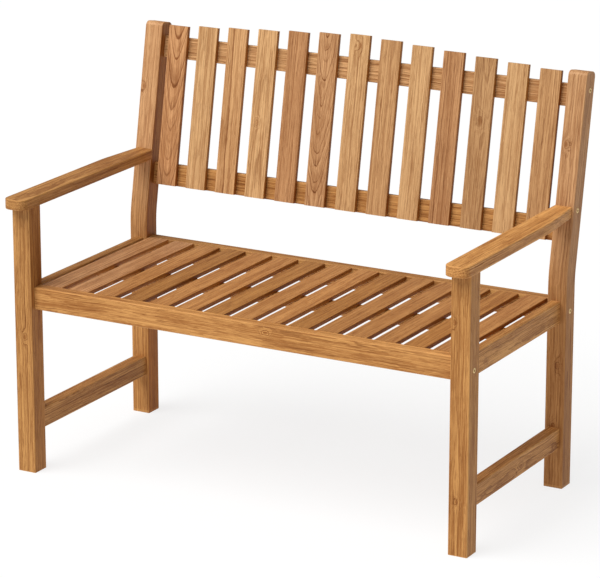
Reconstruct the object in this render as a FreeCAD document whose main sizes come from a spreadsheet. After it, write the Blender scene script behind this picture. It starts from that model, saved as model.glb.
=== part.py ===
# A two-seat garden bench of solid wood: two glued side frames joined by bolted rails,
# a seat of narrow slats tongued into the rails, and a raked back of vertical slats.
#
# The bench stands on Z = 0 with its origin under the middle of its overall box.
# X runs along the bench, Y from front to back, Z up. The pieces of the right-hand side (+X)
# are modelled, and those of the left-hand side are their mirror images.

import FreeCAD, Part
import math
import os
import Sketcher

Vector = FreeCAD.Vector

SEAT_SLATS = 15
BACK_SLATS = 13

# Driving dimensions in millimetres and degrees: each becomes a cell of the sheet "bench".
DIMENSIONS = {
    # Side frames
    "front_face": -287.9,       # Y of the front faces of the front legs
    "leg_span": 1125,           # over the outer faces of the front legs
    "leg_size": 45,             # side of the square legs and rear posts
    "leg_height": 615.5,        # front leg, floor to armrest
    "leg_ease": 2.25,           # rounding of the long edges of legs and posts
    "post_inset": 3,            # rear posts stand this far in from the front legs
    "post_depth": 481,          # front faces of the front legs to front faces of the rear posts
    "bend_height": 485,         # where the rear post's front face turns back
    "bend_radius": 285,
    "rake": 10.5,               # lean of the back from the vertical
    "raked_length": 453,        # rear post's front face above the turn
    "post_round": 12,           # rounding of the rear post's top
    "stretcher_low": 93.5,      # floor to the underside of the lower side stretcher
    "stretcher_height": 47.5,
    "stretcher_thick": 28,
    "stretcher_inset": 12,      # outer face in from the front leg's outer face
    # Seat
    "seat_height": 432,
    "rail_height": 51,
    "rail_thick": 27,           # front and rear seat rails
    "rail_ease": 2.4,
    "front_rail_setback": 13.5,     # behind the front legs' front faces
    "rear_rail_setback": 12.5,      # behind the rear posts' front faces
    "side_rail_thick": 22,
    "side_rail_inset": 17,      # outer face in from the front leg's outer face
    "bearer_width": 22,
    "bearer_height": 26,
    "bearer_depth": 269,        # middle of the bearer behind the front legs' front faces
    "seat_slat_width": 51,
    "seat_slat_thick": 10,
    "seat_slat_pitch": 69.4,
    "seat_slat_shift": -3,      # middle of the row of slats from the middle of the bench
    "slat_ease": 2,
    "tongue_length": 8,
    "tongue_thick": 5,
    "tongue_width": 39,
    "tongue_drop": 2.5,         # slat's top to tongue's top
    "tongue_gap": 0.4,          # mortise wider and higher than its tongue, and deeper
    # Back: rises are up the rake from the turn, depths are behind the posts' raked front faces
    "back_rail_height": 50,
    "back_rail_thick": 22,
    "back_rail_depth": 18.5,    # front faces of the back rails
    "top_rail_rise": 397,       # middle of the top back rail
    "bottom_rail_rise": 102,    # middle of the bottom back rail
    "back_slat_width": 51,
    "back_slat_thick": 11,
    "back_slat_pitch": 78.7,
    "back_slat_shift": -2.5,    # middle of the row of slats from the middle of the bench
    "back_slat_foot": 77.5,     # rise of the slats' lower ends
    "back_slat_top": 475.5,     # rise of the middle slat's upper end
    "back_slat_step": 4.55,     # each slat ends this much lower than its inner neighbour
    # Armrests
    "arm_thick": 24,
    "arm_inner_lip": 5,         # inner edge past the leg's inner face
    "arm_outer_lip": 5,         # outer edge past the leg's outer face
    "arm_nose": 30,             # front end past the leg's front face
    "arm_corner": 18,
    "arm_ease": 2.5,
    "arm_straight": 365,        # outer edge is straight this far behind the leg's front face
    "arm_curve": 290,           # radius of the turn into the taper
    "arm_taper": 5.5,           # angle of the outer edge behind that turn
    "tenon_length": 30,         # beyond the rear post's face at the tenon's middle
    "tenon_width": 25,
    "tenon_thick": 12,
    "tenon_inset": 11,          # armrest's inner edge to the tenon
    "arm_dowel_spread": 11,     # each armrest dowel from the leg's middle
    # Bolts and barrel nuts
    "bolt_size": 6,
    "bolt_length": 75,
    "bolt_tip": 0.8,            # chamfer at the bolt's end
    "bolt_gap": 0.4,            # holes wider and longer than bolts and nuts
    "head_size": 12,
    "head_thick": 3,
    "head_round": 0.6,
    "head_gap": 1,              # counterbore wider than the head
    "socket_size": 5,           # hexagon socket across its flats
    "socket_depth": 2.2,
    "arm_bolt_length": 38,
    "top_bolt_rise": 14.5,      # top rail's bolt above the rail's middle
    "top_bolt_shift": -3.5,     # the same bolt, in front of the rail's middle
    "nut_size": 10,
    "nut_length": 13,
    "nut_setback": 28,          # rail's end to the middle of its barrel nut
    "nut_slot": 1.4,
    # Dowels
    "dowel_size": 8,
    "dowel_length": 40,
    "dowel_ease": 1,
    "dowel_gap": 0.2,           # holes wider than dowels
    "dowel_relief": 0.5,        # holes deeper than dowels
    "dowel_offset": 5,          # middle of a side dowel beyond the joint, in the longer piece
    "bearer_dowel_offset": 8,
    "rail_dowel_rise": 12,      # dowels above and below a seat rail's bolt
    "side_dowel_rise": 13,      # dowels above and below the middle of a side rail
    "stretcher_dowel_rise": 12,
    "back_dowel_rise": 14,      # dowels above and below the middle of the bottom back rail
    "top_dowel_drop": 12,       # dowel below the middle of the top back rail
    # Countersunk screws
    "screw_size": 4,
    "screw_head": 8,
    "screw_cone": 2.2,
    "screw_point": 4,
    "screw_gap": 0.2,           # holes wider than screws
    "screw_relief": 0.5,        # pilot holes deeper than screws
    "seat_screw_length": 32,
    "back_screw_length": 30,
    "recess_size": 4.4,         # cross recess from end to end
    "recess_arm": 1,
    "recess_depth": 1.2,
}

# Expressions that several pieces share. Depths are behind the front legs' front faces.
LEG_X = "(bench.leg_span / 2 - bench.leg_size / 2)"
LEG_INNER = "(bench.leg_span / 2 - bench.leg_size)"
POST_X = "(bench.leg_span / 2 - bench.post_inset - bench.leg_size / 2)"
POST_INNER = "(bench.leg_span / 2 - bench.post_inset - bench.leg_size)"
SIDE_RAIL_X = "(bench.leg_span / 2 - bench.side_rail_inset - bench.side_rail_thick / 2)"
SIDE_RAIL_INNER = "(bench.leg_span / 2 - bench.side_rail_inset - bench.side_rail_thick)"
STRETCHER_X = "(bench.leg_span / 2 - bench.stretcher_inset - bench.stretcher_thick / 2)"
STRETCHER_Z = "(bench.stretcher_low + bench.stretcher_height / 2)"
SIDE_LENGTH = "(bench.post_depth - bench.leg_size)"
SEAT_RAIL_Z = "(bench.seat_height - bench.rail_height / 2)"
FRONT_RAIL_DEPTH = "(bench.front_rail_setback + bench.rail_thick / 2)"
REAR_RAIL_DEPTH = "(bench.post_depth + bench.rear_rail_setback + bench.rail_thick / 2)"
SLAT_Z = "(bench.seat_height - bench.seat_slat_thick / 2)"
SLAT_START = "(bench.front_rail_setback + bench.rail_thick)"
SLAT_END = "(bench.post_depth + bench.rear_rail_setback)"
BEARER_Z = "(bench.seat_height - bench.seat_slat_thick - bench.bearer_height / 2)"
BACK_RAIL_LINE = "(bench.back_rail_depth + bench.back_rail_thick / 2)"
BACK_SLAT_LINE = "(bench.back_rail_depth - bench.back_slat_thick / 2)"
TOP_BOLT = ("(bench.top_rail_rise + bench.top_bolt_rise)", f"({BACK_RAIL_LINE} + bench.top_bolt_shift)")
HALF_LEG = "(bench.leg_size / 2)"
ARM_Z = "(bench.leg_height + bench.arm_thick / 2)"
ARM_LOW_END = "((bench.leg_height - bench.bend_height) * tan(bench.rake))"
ARM_MIDDLE_END = f"(({ARM_Z} - bench.bend_height) * tan(bench.rake))"
ARM_TOP_END = "((bench.leg_height + bench.arm_thick - bench.bend_height) * tan(bench.rake))"
ARM_BOLT_DEPTH = f"({ARM_MIDDLE_END} + {HALF_LEG} / cos(bench.rake))"
TENON_X = f"({LEG_INNER} - bench.arm_inner_lip + bench.tenon_inset + bench.tenon_width / 2)"
DOWEL_HOLE = "(bench.dowel_size + bench.dowel_gap)"
DOWEL_HALF = "(bench.dowel_length / 2 + bench.dowel_relief)"
DOWEL_SHORT = f"({DOWEL_HALF} - bench.dowel_offset)"
DOWEL_LONG = f"({DOWEL_HALF} + bench.dowel_offset)"
BOLT_HOLE = "(bench.bolt_size + bench.bolt_gap)"
BOLT_REACH = "(bench.bolt_length + bench.head_thick - bench.leg_size + bench.bolt_gap)"

# For each axis, the origin plane square to it and the sign of that plane's normal.
PLANES = {"X": ("YZ_Plane", 1), "Y": ("XZ_Plane", -1), "Z": ("XY_Plane", 1)}
DIRECTIONS = {"X": Vector(1, 0, 0), "Y": Vector(0, 1, 0), "Z": Vector(0, 0, 1)}

document = FreeCAD.newDocument("garden_bench")
sheet = document.addObject("Spreadsheet::Sheet", "bench")
for row, (alias, value) in enumerate(DIMENSIONS.items(), start=1):
    sheet.set(f"A{row}", str(value))
    sheet.setAlias(f"A{row}", alias)
document.recompute()

subparts = []


def amount(expression):
    """The present value of an expression, in millimetres."""
    return float(sheet.evalExpression(expression))


def signed(sign, expression):
    """The expression, or its opposite for a sign of -1."""
    return f"{sign} * ({expression})"


def raked(rise, depth):
    """Depth behind the rear post's upright front face, and height, of a point on the raked back."""
    back = f"(({rise}) * sin(bench.rake) + ({depth}) * cos(bench.rake))"
    height = f"(bench.bend_height + ({rise}) * cos(bench.rake) - ({depth}) * sin(bench.rake))"
    return back, height


def new_body(name):
    body = document.addObject("PartDesign::Body", name)
    body.Label = name
    return body


def place(piece, across, depth, height, axis="X", angle="0"):
    """Put a piece's own origin behind the front legs' front faces, turned about an axis."""
    turn = FreeCAD.Rotation(DIRECTIONS[axis], amount(angle))
    piece.Placement = FreeCAD.Placement(Vector(), turn)
    if amount(angle) != 0:
        piece.setExpression("Placement.Rotation.Angle", f"{angle}")
    piece.setExpression("Placement.Base.x", across)
    piece.setExpression("Placement.Base.y", f"bench.front_face + {depth}")
    piece.setExpression("Placement.Base.z", height)


# Sketches ------------------------------------------------------------------------------------

def sketch_across(body, axis, at="0", shift=("0", "0")):
    """A sketch square to an axis, at a place along it, with its origin shifted within its plane."""
    role, sign = PLANES[axis]
    plane = next(feature for feature in body.Origin.OriginFeatures if feature.Role == role)
    sketch = body.newObject("Sketcher::SketchObject", f"{body.Name}_sketch")
    sketch.AttachmentSupport = [(plane, "")]
    sketch.MapMode = "FlatFace"
    sketch.setExpression("AttachmentOffset.Base.x", shift[0])
    sketch.setExpression("AttachmentOffset.Base.y", shift[1])
    sketch.setExpression("AttachmentOffset.Base.z", signed(sign, at))
    return sketch


def dimension(sketch, kind, elements, expression):
    """A driving constraint whose value follows an expression."""
    index = sketch.addConstraint(Sketcher.Constraint(kind, *elements, amount(expression)))
    sketch.setExpression(f"Constraints[{index}]", expression)


def add_polygon(sketch, points):
    """A closed outline of straight lines through points given as pairs of expressions."""
    corners = [Vector(amount(u), amount(v), 0) for u, v in points]
    first = sketch.GeometryCount
    count = len(corners)
    for index in range(count):
        sketch.addGeometry(Part.LineSegment(corners[index], corners[(index + 1) % count]))
    for index in range(count):
        following = first + (index + 1) % count
        sketch.addConstraint(Sketcher.Constraint("Coincident", first + index, 2, following, 1))
    for index, (u, v) in enumerate(points):
        dimension(sketch, "DistanceX", (-1, 1, first + index, 1), u)
        dimension(sketch, "DistanceY", (-1, 1, first + index, 1), v)


def add_rectangle(sketch, middle, size):
    """A rectangle from the middle and the size, each a pair of expressions."""
    left = f"{middle[0]} - ({size[0]}) / 2"
    right = f"{middle[0]} + ({size[0]}) / 2"
    low = f"{middle[1]} - ({size[1]}) / 2"
    high = f"{middle[1]} + ({size[1]}) / 2"
    add_polygon(sketch, [(left, low), (right, low), (right, high), (left, high)])


def add_circle(sketch, middle, diameter):
    centre = Vector(amount(middle[0]), amount(middle[1]), 0)
    circle = sketch.addGeometry(Part.Circle(centre, Vector(0, 0, 1), amount(diameter) / 2))
    dimension(sketch, "DistanceX", (-1, 1, circle, 3), middle[0])
    dimension(sketch, "DistanceY", (-1, 1, circle, 3), middle[1])
    dimension(sketch, "Diameter", (circle,), diameter)


def add_hexagon(sketch, across_flats):
    """A regular hexagon about the sketch's origin, its corners on a construction circle."""
    radius = f"{across_flats} / sqrt(3)"
    circle = sketch.addGeometry(Part.Circle(Vector(), Vector(0, 0, 1), amount(radius)), True)
    corners = [Vector(0, amount(radius), 0)]
    for index in range(1, 6):
        turn = FreeCAD.Rotation(DIRECTIONS["Z"], index * 60)
        corners.append(turn.multVec(corners[0]))
    sides = [sketch.addGeometry(Part.LineSegment(corners[index - 1], corners[index])) for index in range(6)]
    for index, side in enumerate(sides):
        sketch.addConstraint(Sketcher.Constraint("Coincident", sides[index - 1], 2, side, 1))
        sketch.addConstraint(Sketcher.Constraint("PointOnObject", side, 1, circle))
    for side in sides[1:]:
        sketch.addConstraint(Sketcher.Constraint("Equal", sides[0], side))
    sketch.addConstraint(Sketcher.Constraint("Coincident", circle, 3, -1, 1))
    sketch.addConstraint(Sketcher.Constraint("PointOnObject", sides[1], 1, -2))
    dimension(sketch, "Radius", (circle,), radius)


# Features ------------------------------------------------------------------------------------

def extrude(body, kind, sketch, axis, length, toward):
    """Pad or pocket a sketch along its axis, toward 1 or -1, or both ways alike for 0."""
    feature = body.newObject(f"PartDesign::{kind}", f"{body.Name}_{kind}")
    feature.Profile = sketch
    feature.setExpression("Length", length)
    along_normal = toward == PLANES[axis][1]
    if toward == 0:
        feature.SideType = "Symmetric"
    else:
        feature.Reversed = along_normal == (kind == "Pocket")
    return feature


def turn_profile(body, kind, sketch):
    """Revolve or groove a sketch a full turn about its upright axis."""
    feature = body.newObject(f"PartDesign::{kind}", f"{body.Name}_{kind}")
    feature.Profile = sketch
    feature.ReferenceAxis = (sketch, ["V_Axis"])
    feature.Angle = 360
    return feature


def repeat(body, feature, sketch, pitch, count):
    """Repeat a feature along the bench."""
    document.recompute()
    pattern = body.newObject("PartDesign::LinearPattern", f"{body.Name}_pattern")
    pattern.Originals = [feature]
    pattern.Direction = (sketch, ["H_Axis"])
    pattern.setExpression("Length", f"{pitch} * {count - 1}")
    pattern.Occurrences = count
    body.Tip = pattern


def ease(body, radius, wanted):
    """Round those edges of the body's present shape that pass the test."""
    document.recompute()
    base = body.Tip
    names = [f"Edge{index}" for index, edge in enumerate(base.Shape.Edges, start=1) if wanted(edge)]
    fillet = body.newObject("PartDesign::Fillet", f"{body.Name}_ease")
    fillet.Base = (base, names)
    fillet.setExpression("Radius", radius)


def runs_along(axis):
    """A test for straight edges along an axis."""
    def test(edge):
        if edge.Curve.TypeId != "Part::GeomLine":
            return False
        return abs(edge.tangentAt(edge.FirstParameter).dot(DIRECTIONS[axis])) > 0.999
    return test


def bore(body, axis, at, toward, spots, diameter, depth):
    """Round holes from a place along an axis into the body."""
    sketch = sketch_across(body, axis, at)
    for spot in spots:
        add_circle(sketch, spot, diameter)
    extrude(body, "Pocket", sketch, axis, depth, toward)


def bore_for_heads(body, spots):
    """Counterbores for bolt heads in a leg's or post's outer face."""
    bore(body, "X", HALF_LEG, -1, spots, "bench.head_size + bench.head_gap", "bench.head_thick")


def board(name, axis, length, section, radius):
    """A straight board about its own middle, with its long edges eased."""
    body = new_body(name)
    outline = sketch_across(body, axis)
    add_rectangle(outline, ("0", "0"), section)
    extrude(body, "Pad", outline, axis, length, 0)
    ease(body, radius, runs_along(axis))
    return body


def screw_holes(body, axis, at, toward, first, pitch, count, depth):
    """A row of countersunk holes along the bench, each from a face straight into the board."""
    plane_axis = {"Y": "Z", "Z": "Y"}[axis]
    sketch = sketch_across(body, plane_axis, shift=(first, at))
    head = "(bench.screw_head + bench.screw_gap) / 2"
    shank = "(bench.screw_size + bench.screw_gap) / 2"
    deep = signed(toward, depth)
    cone = signed(toward, "bench.screw_cone")
    add_polygon(sketch, [("0", "0"), (head, "0"), (shank, cone), (shank, deep), ("0", deep)])
    groove = turn_profile(body, "Groove", sketch)
    repeat(body, groove, sketch, pitch, count)


def mirror(source, name):
    """The left-hand twin of a right-hand piece."""
    twin = document.addObject("Part::Mirroring", name)
    twin.Label = name
    twin.Source = source
    twin.Normal = DIRECTIONS["X"]
    subparts.append(twin)


def finish_pair(right, kind):
    subparts.append(right)
    mirror(right, f"{kind}_left")


def slat_x(index, count, pitch, shift):
    """Place along the bench of one slat of an even row."""
    return f"({shift} + {pitch} * {index - (count - 1) / 2})"


def seat_slat_x(index):
    return slat_x(index, SEAT_SLATS, "bench.seat_slat_pitch", "bench.seat_slat_shift")


def back_slat_x(index):
    return slat_x(index, BACK_SLATS, "bench.back_slat_pitch", "bench.back_slat_shift")


def pair_spots(across, height, rise):
    """Two spots, one above and one below a height."""
    return [(across, f"{height} + {sign} * {rise}") for sign in (-1, 1)]


# Side frames -----------------------------------------------------------------------------------

def side_spots(middle):
    """Spots of the side rail's and stretcher's dowels, across from a leg's or post's middle."""
    rail = pair_spots(f"({SIDE_RAIL_X} - {middle})", SEAT_RAIL_Z, "bench.side_dowel_rise")
    low = pair_spots(f"({STRETCHER_X} - {middle})", STRETCHER_Z, "bench.stretcher_dowel_rise")
    return rail + low


def make_front_leg():
    """Square leg: its own origin is at the floor, midway across and on the front face."""
    body = new_body("front_leg_right")
    outline = sketch_across(body, "Z")
    add_rectangle(outline, ("0", HALF_LEG), ("bench.leg_size", "bench.leg_size"))
    extrude(body, "Pad", outline, "Z", "bench.leg_height", 1)
    ease(body, "bench.leg_ease", runs_along("Z"))
    bolt = (HALF_LEG, SEAT_RAIL_Z)
    bore(body, "X", "0", 0, [bolt], BOLT_HOLE, "bench.leg_size * 2")
    bore_for_heads(body, [bolt])
    rail_dowels = pair_spots(HALF_LEG, SEAT_RAIL_Z, "bench.rail_dowel_rise")
    bore(body, "X", f"-{HALF_LEG}", 1, rail_dowels, DOWEL_HOLE, DOWEL_HALF)
    bore(body, "Y", "bench.leg_size", -1, side_spots(LEG_X), DOWEL_HOLE, DOWEL_SHORT)
    arm_dowels = [(f"{sign} * bench.arm_dowel_spread", HALF_LEG) for sign in (-1, 1)]
    bore(body, "Z", "bench.leg_height", -1, arm_dowels, DOWEL_HOLE, DOWEL_LONG)
    place(body, LEG_X, "0", "0")
    finish_pair(body, "front_leg")


def draw_post_profile(sketch):
    """Side outline of the rear post: upright, then an even turn back, then straight up the rake."""
    size = amount("bench.leg_size")
    radius = amount("bench.bend_radius")
    rake = math.radians(amount("bench.rake"))
    turn_height = "bench.bend_height - bench.bend_radius * tan(bench.rake / 2)"
    turn = Vector(radius, amount(turn_height), 0)
    top_depth = "bench.raked_length * sin(bench.rake)"
    top_height = "bench.bend_height + bench.raked_length * cos(bench.rake)"
    front_top = Vector(amount(top_depth), amount(top_height), 0)
    back_top = front_top + Vector(size * math.cos(rake), -size * math.sin(rake), 0)

    def arc(arc_radius):
        circle = Part.Circle(turn, Vector(0, 0, 1), arc_radius)
        return Part.ArcOfCircle(circle, math.pi - rake, math.pi)

    front_arc = arc(radius)
    back_arc = arc(radius - size)
    floor = sketch.addGeometry(Part.LineSegment(Vector(0, 0, 0), Vector(size, 0, 0)))
    back = sketch.addGeometry(Part.LineSegment(Vector(size, 0, 0), back_arc.EndPoint))
    back_turn = sketch.addGeometry(back_arc)
    back_rake = sketch.addGeometry(Part.LineSegment(back_arc.StartPoint, back_top))
    top = sketch.addGeometry(Part.LineSegment(back_top, front_top))
    front_rake = sketch.addGeometry(Part.LineSegment(front_top, front_arc.StartPoint))
    front_turn = sketch.addGeometry(front_arc)
    front = sketch.addGeometry(Part.LineSegment(front_arc.EndPoint, Vector(0, 0, 0)))

    for constraint in [
        ("Coincident", floor, 1, -1, 1),
        ("Horizontal", floor),
        ("Coincident", floor, 2, back, 1),
        ("Vertical", back),
        ("Tangent", back, 2, back_turn, 2),
        ("Tangent", back_turn, 1, back_rake, 1),
        ("Coincident", back_rake, 2, top, 1),
        ("Coincident", top, 2, front_rake, 1),
        ("Perpendicular", top, front_rake),
        ("Parallel", back_rake, front_rake),
        ("Tangent", front_rake, 2, front_turn, 1),
        ("Tangent", front_turn, 2, front, 1),
        ("Coincident", front, 2, floor, 1),
        ("Vertical", front),
        ("Coincident", front_turn, 3, back_turn, 3),
    ]:
        sketch.addConstraint(Sketcher.Constraint(*constraint))
    dimension(sketch, "DistanceX", (floor, 1, floor, 2), "bench.leg_size")
    dimension(sketch, "Radius", (front_turn,), "bench.bend_radius")
    dimension(sketch, "DistanceY", (-1, 1, front_turn, 3), turn_height)
    dimension(sketch, "DistanceX", (-1, 1, top, 2), top_depth)
    dimension(sketch, "DistanceY", (-1, 1, top, 2), top_height)


def make_rear_post():
    """Rear post: its own origin is at the floor, midway across and on the upright front face."""
    body = new_body("rear_post_right")
    profile = sketch_across(body, "X")
    draw_post_profile(profile)
    extrude(body, "Pad", profile, "X", "bench.leg_size", 0)
    shoulder = amount("bench.bend_height + bench.raked_length / 2")
    half = amount(HALF_LEG)
    along_bench = runs_along("X")
    ease(body, "bench.post_round", lambda edge: along_bench(edge) and edge.CenterOfMass.z > shoulder)
    ease(body, "bench.leg_ease",
         lambda edge: math.isclose(abs(edge.CenterOfMass.x), half) and edge.CenterOfMass.z > 1)

    seat_bolt = (HALF_LEG, SEAT_RAIL_Z)
    top_bolt = raked(*TOP_BOLT)
    arm_bolt = (ARM_BOLT_DEPTH, ARM_Z)
    bore(body, "X", "0", 0, [seat_bolt, top_bolt], BOLT_HOLE, "bench.leg_size * 2")
    arm_bolt_hole = "bench.arm_bolt_length + bench.head_thick + bench.bolt_gap"
    bore(body, "X", HALF_LEG, -1, [arm_bolt], BOLT_HOLE, arm_bolt_hole)
    bore_for_heads(body, [seat_bolt, top_bolt, arm_bolt])

    rail_dowels = pair_spots(HALF_LEG, SEAT_RAIL_Z, "bench.rail_dowel_rise")
    rail_dowels.append(raked("bench.top_rail_rise - bench.top_dowel_drop", BACK_RAIL_LINE))
    for sign in (-1, 1):
        rise = f"bench.bottom_rail_rise + {sign} * bench.back_dowel_rise"
        rail_dowels.append(raked(rise, BACK_RAIL_LINE))
    bore(body, "X", f"-{HALF_LEG}", 1, rail_dowels, DOWEL_HOLE, DOWEL_HALF)
    bore(body, "Y", "0", 1, side_spots(POST_X), DOWEL_HOLE, DOWEL_SHORT)

    mortise = sketch_across(body, "Y")
    width = "bench.tenon_width + bench.tongue_gap"
    height = "bench.tenon_thick + bench.tongue_gap"
    add_rectangle(mortise, (f"({TENON_X} - {POST_X})", ARM_Z), (width, height))
    mortise_end = f"{ARM_MIDDLE_END} + bench.tenon_length + bench.tongue_gap"
    extrude(body, "Pocket", mortise, "Y", mortise_end, 1)
    place(body, POST_X, "bench.post_depth", "0")
    finish_pair(body, "rear_post")


def make_side_board(kind, section, across, height, rise):
    """A board from front leg to rear post, doweled at both ends."""
    body = board(f"{kind}_right", "Y", SIDE_LENGTH, section, "bench.rail_ease")
    for end in (-1, 1):
        face = signed(end, f"{SIDE_LENGTH} / 2")
        bore(body, "Y", face, -end, pair_spots("0", "0", rise), DOWEL_HOLE, DOWEL_LONG)
    return body, across, height


def make_side_rail():
    section = ("bench.side_rail_thick", "bench.rail_height")
    body, across, height = make_side_board(
        "seat_side_rail", section, SIDE_RAIL_X, SEAT_RAIL_Z, "bench.side_dowel_rise")
    middle = f"(bench.leg_size + {SIDE_LENGTH} / 2)"
    bearer_spot = (f"bench.bearer_depth - {middle}", f"{BEARER_Z} - {SEAT_RAIL_Z}")
    inner_face = "-bench.side_rail_thick / 2"
    dowel_depth = f"{DOWEL_HALF} - bench.bearer_dowel_offset"
    bore(body, "X", inner_face, 1, [bearer_spot], DOWEL_HOLE, dowel_depth)
    place(body, across, middle, height)
    finish_pair(body, "seat_side_rail")


def make_stretcher():
    section = ("bench.stretcher_thick", "bench.stretcher_height")
    body, across, height = make_side_board(
        "side_stretcher", section, STRETCHER_X, STRETCHER_Z, "bench.stretcher_dowel_rise")
    place(body, across, f"bench.leg_size + {SIDE_LENGTH} / 2", height)
    finish_pair(body, "side_stretcher")


def draw_arm_plan(sketch):
    """Plan of the armrest: straight inner edge, outer edge that turns in towards the post."""
    inner = f"-({HALF_LEG} + bench.arm_inner_lip)"
    width = "bench.leg_size + bench.arm_inner_lip + bench.arm_outer_lip"
    rear = f"bench.post_depth + {ARM_TOP_END}"
    turn_length = "bench.arm_curve * sin(bench.arm_taper)"
    left = amount(inner)
    right = left + amount(width)
    nose = -amount("bench.arm_nose")
    straight = amount("bench.arm_straight")
    radius = amount("bench.arm_curve")
    taper = math.radians(amount("bench.arm_taper"))
    rear_end = amount(rear)
    circle = Part.Circle(Vector(right - radius, straight, 0), Vector(0, 0, 1), radius)
    turn_arc = Part.ArcOfCircle(circle, 0, taper)
    run = rear_end - turn_arc.EndPoint.y
    rear_right = Vector(turn_arc.EndPoint.x - run * math.tan(taper), rear_end, 0)

    front = sketch.addGeometry(Part.LineSegment(Vector(left, nose, 0), Vector(right, nose, 0)))
    outer = sketch.addGeometry(Part.LineSegment(Vector(right, nose, 0), turn_arc.StartPoint))
    turn = sketch.addGeometry(turn_arc)
    slant = sketch.addGeometry(Part.LineSegment(turn_arc.EndPoint, rear_right))
    back = sketch.addGeometry(Part.LineSegment(rear_right, Vector(left, rear_end, 0)))
    inside = sketch.addGeometry(Part.LineSegment(Vector(left, rear_end, 0), Vector(left, nose, 0)))
    for constraint in [
        ("Horizontal", front),
        ("Coincident", front, 2, outer, 1),
        ("Vertical", outer),
        ("Tangent", outer, 2, turn, 1),
        ("Tangent", turn, 2, slant, 1),
        ("Coincident", slant, 2, back, 1),
        ("Horizontal", back),
        ("Coincident", back, 2, inside, 1),
        ("Vertical", inside),
        ("Coincident", inside, 2, front, 1),
    ]:
        sketch.addConstraint(Sketcher.Constraint(*constraint))
    dimension(sketch, "DistanceX", (-1, 1, front, 1), inner)
    dimension(sketch, "DistanceY", (-1, 1, front, 1), "-bench.arm_nose")
    dimension(sketch, "DistanceX", (front, 1, front, 2), width)
    dimension(sketch, "DistanceY", (-1, 1, outer, 2), "bench.arm_straight")
    dimension(sketch, "Radius", (turn,), "bench.arm_curve")
    dimension(sketch, "DistanceY", (turn, 1, turn, 2), turn_length)
    dimension(sketch, "DistanceY", (-1, 1, back, 1), rear)


def make_armrest():
    """Armrest: its own origin is over the leg's front face, midway across, on the underside."""
    body = new_body("armrest_right")
    plan = sketch_across(body, "Z")
    draw_arm_plan(plan)
    extrude(body, "Pad", plan, "Z", "bench.arm_thick", 1)
    rear = amount(f"bench.post_depth + {ARM_TOP_END}")
    upright = runs_along("Z")
    ease(body, "bench.arm_corner", lambda edge: upright(edge) and edge.CenterOfMass.y < 0)
    half_thick = amount("bench.arm_thick") / 2
    ease(body, "bench.arm_ease",
         lambda edge: math.isclose(abs(edge.CenterOfMass.z - half_thick), half_thick)
         and edge.CenterOfMass.y < rear - 1)

    end_cut = sketch_across(body, "X")
    low = f"bench.post_depth + {ARM_LOW_END}"
    high = f"bench.post_depth + {ARM_TOP_END}"
    add_polygon(end_cut, [(low, "0"), (high, "0"), (high, "bench.arm_thick")])
    extrude(body, "Pocket", end_cut, "X", "bench.leg_size * 2", 0)

    root = "bench.arm_straight"
    tenon = sketch_across(body, "Y", root)
    section = ("bench.tenon_width", "bench.tenon_thick")
    add_rectangle(tenon, (f"({TENON_X} - {LEG_X})", "bench.arm_thick / 2"), section)
    reach = f"bench.post_depth + {ARM_MIDDLE_END} + bench.tenon_length - {root}"
    extrude(body, "Pad", tenon, "Y", reach, 1)
    bolt = (f"bench.post_depth + {ARM_BOLT_DEPTH}", "bench.arm_thick / 2")
    bore(body, "X", "0", 0, [bolt], BOLT_HOLE, "bench.leg_size * 2")
    dowels = [(f"{sign} * bench.arm_dowel_spread", HALF_LEG) for sign in (-1, 1)]
    bore(body, "Z", "0", 1, dowels, DOWEL_HOLE, DOWEL_SHORT)
    place(body, LEG_X, "0", "bench.leg_height")
    finish_pair(body, "armrest")


# Seat ------------------------------------------------------------------------------------------

def bore_rail_ends(body, half_length, bolt_spot, dowel_spots, underside):
    """Bolt, barrel nut and dowel holes at both ends of a rail between the side frames."""
    nut_hole = "bench.nut_size + bench.bolt_gap"
    nut_depth = f"{bolt_spot[1]} - ({underside}) + bench.nut_length / 2"
    for end in (-1, 1):
        face = signed(end, half_length)
        nut_x = signed(end, f"{half_length} - bench.nut_setback")
        bore(body, "X", face, -end, [bolt_spot], BOLT_HOLE, BOLT_REACH)
        bore(body, "X", face, -end, dowel_spots, DOWEL_HOLE, DOWEL_HALF)
        bore(body, "Z", underside, 1, [(nut_x, bolt_spot[0])], nut_hole, nut_depth)


def make_seat_rail(name, half_length, depth, bolt_depth, slat_side):
    """Seat rail with a row of mortises on the side of the slats (1 behind it, -1 in front)."""
    section = ("bench.rail_thick", "bench.rail_height")
    body = board(name, "X", f"{half_length} * 2", section, "bench.rail_ease")
    bolt_line = f"({bolt_depth} - {depth})"
    dowels = pair_spots(bolt_line, "0", "bench.rail_dowel_rise")
    bore_rail_ends(body, half_length, (bolt_line, "0"), dowels, "-bench.rail_height / 2")
    mortise = sketch_across(body, "Y", signed(slat_side, "bench.rail_thick / 2"))
    tongue_z = "bench.rail_height / 2 - bench.tongue_drop - bench.tongue_thick / 2"
    width = "bench.tongue_width + bench.tongue_gap"
    height = "bench.tongue_thick + bench.tongue_gap"
    add_rectangle(mortise, (seat_slat_x(0), tongue_z), (width, height))
    mortise_depth = "bench.tongue_length + bench.tongue_gap"
    pocket = extrude(body, "Pocket", mortise, "Y", mortise_depth, -slat_side)
    repeat(body, pocket, mortise, "bench.seat_slat_pitch", SEAT_SLATS)
    place(body, "0", depth, SEAT_RAIL_Z)
    subparts.append(body)


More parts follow.
